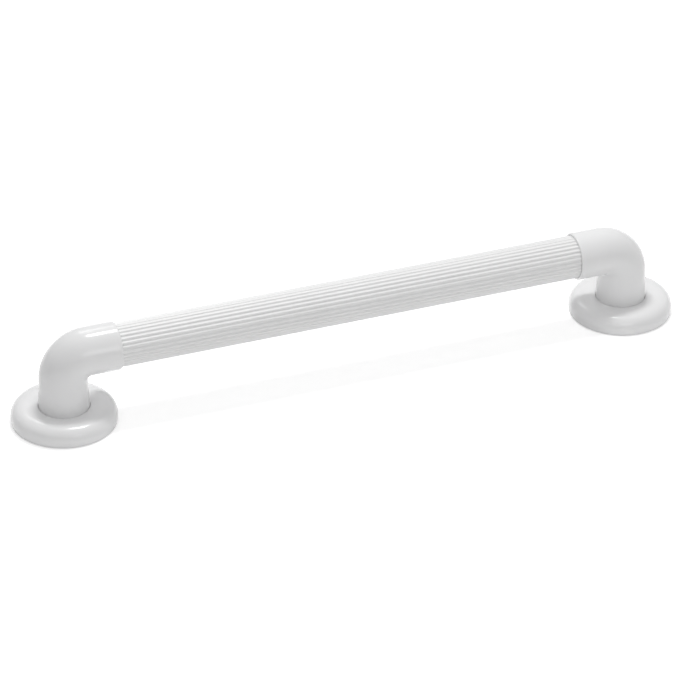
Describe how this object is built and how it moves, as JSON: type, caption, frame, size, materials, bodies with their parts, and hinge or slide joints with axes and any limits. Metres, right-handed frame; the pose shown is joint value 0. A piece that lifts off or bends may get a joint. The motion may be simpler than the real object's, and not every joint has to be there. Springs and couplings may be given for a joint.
{
  "type": "grab bar",
  "caption": "Straight wall-mounted plastic grab bar: a fluted tubular rail bonded into smooth moulded end elbows, each with a screw-fixed flange under a sliding domed cover.",
  "frame": {"origin": "on the wall plane, midway between the two flange centres", "axes": "+X along the rail, +Z away from the wall, towards the hand"},
  "size_m": [0.5294, 0.0794, 0.074],
  "materials": {
    "extruded_white": "white extruded rigid PVC, soft gloss",
    "moulded_white": "white injection-moulded plastic, glossy"
  },
  "bodies": {
    "bar": {"fluted_rail": "extruded_white", "left_elbow": "moulded_white", "right_elbow": "moulded_white"},
    "left_cover": {"left_screw_cover": "moulded_white"},
    "right_cover": {"right_screw_cover": "moulded_white"}
  },
  "joints": [
    {"name": "left_cover_slide", "type": "slide", "parent": "bar", "child": "left_cover", "axis": [0, 0, 1], "range_m": [0, 0.018]},
    {"name": "right_cover_slide", "type": "slide", "parent": "bar", "child": "right_cover", "axis": [0, 0, 1], "range_m": [0, 0.018]}
  ]
}
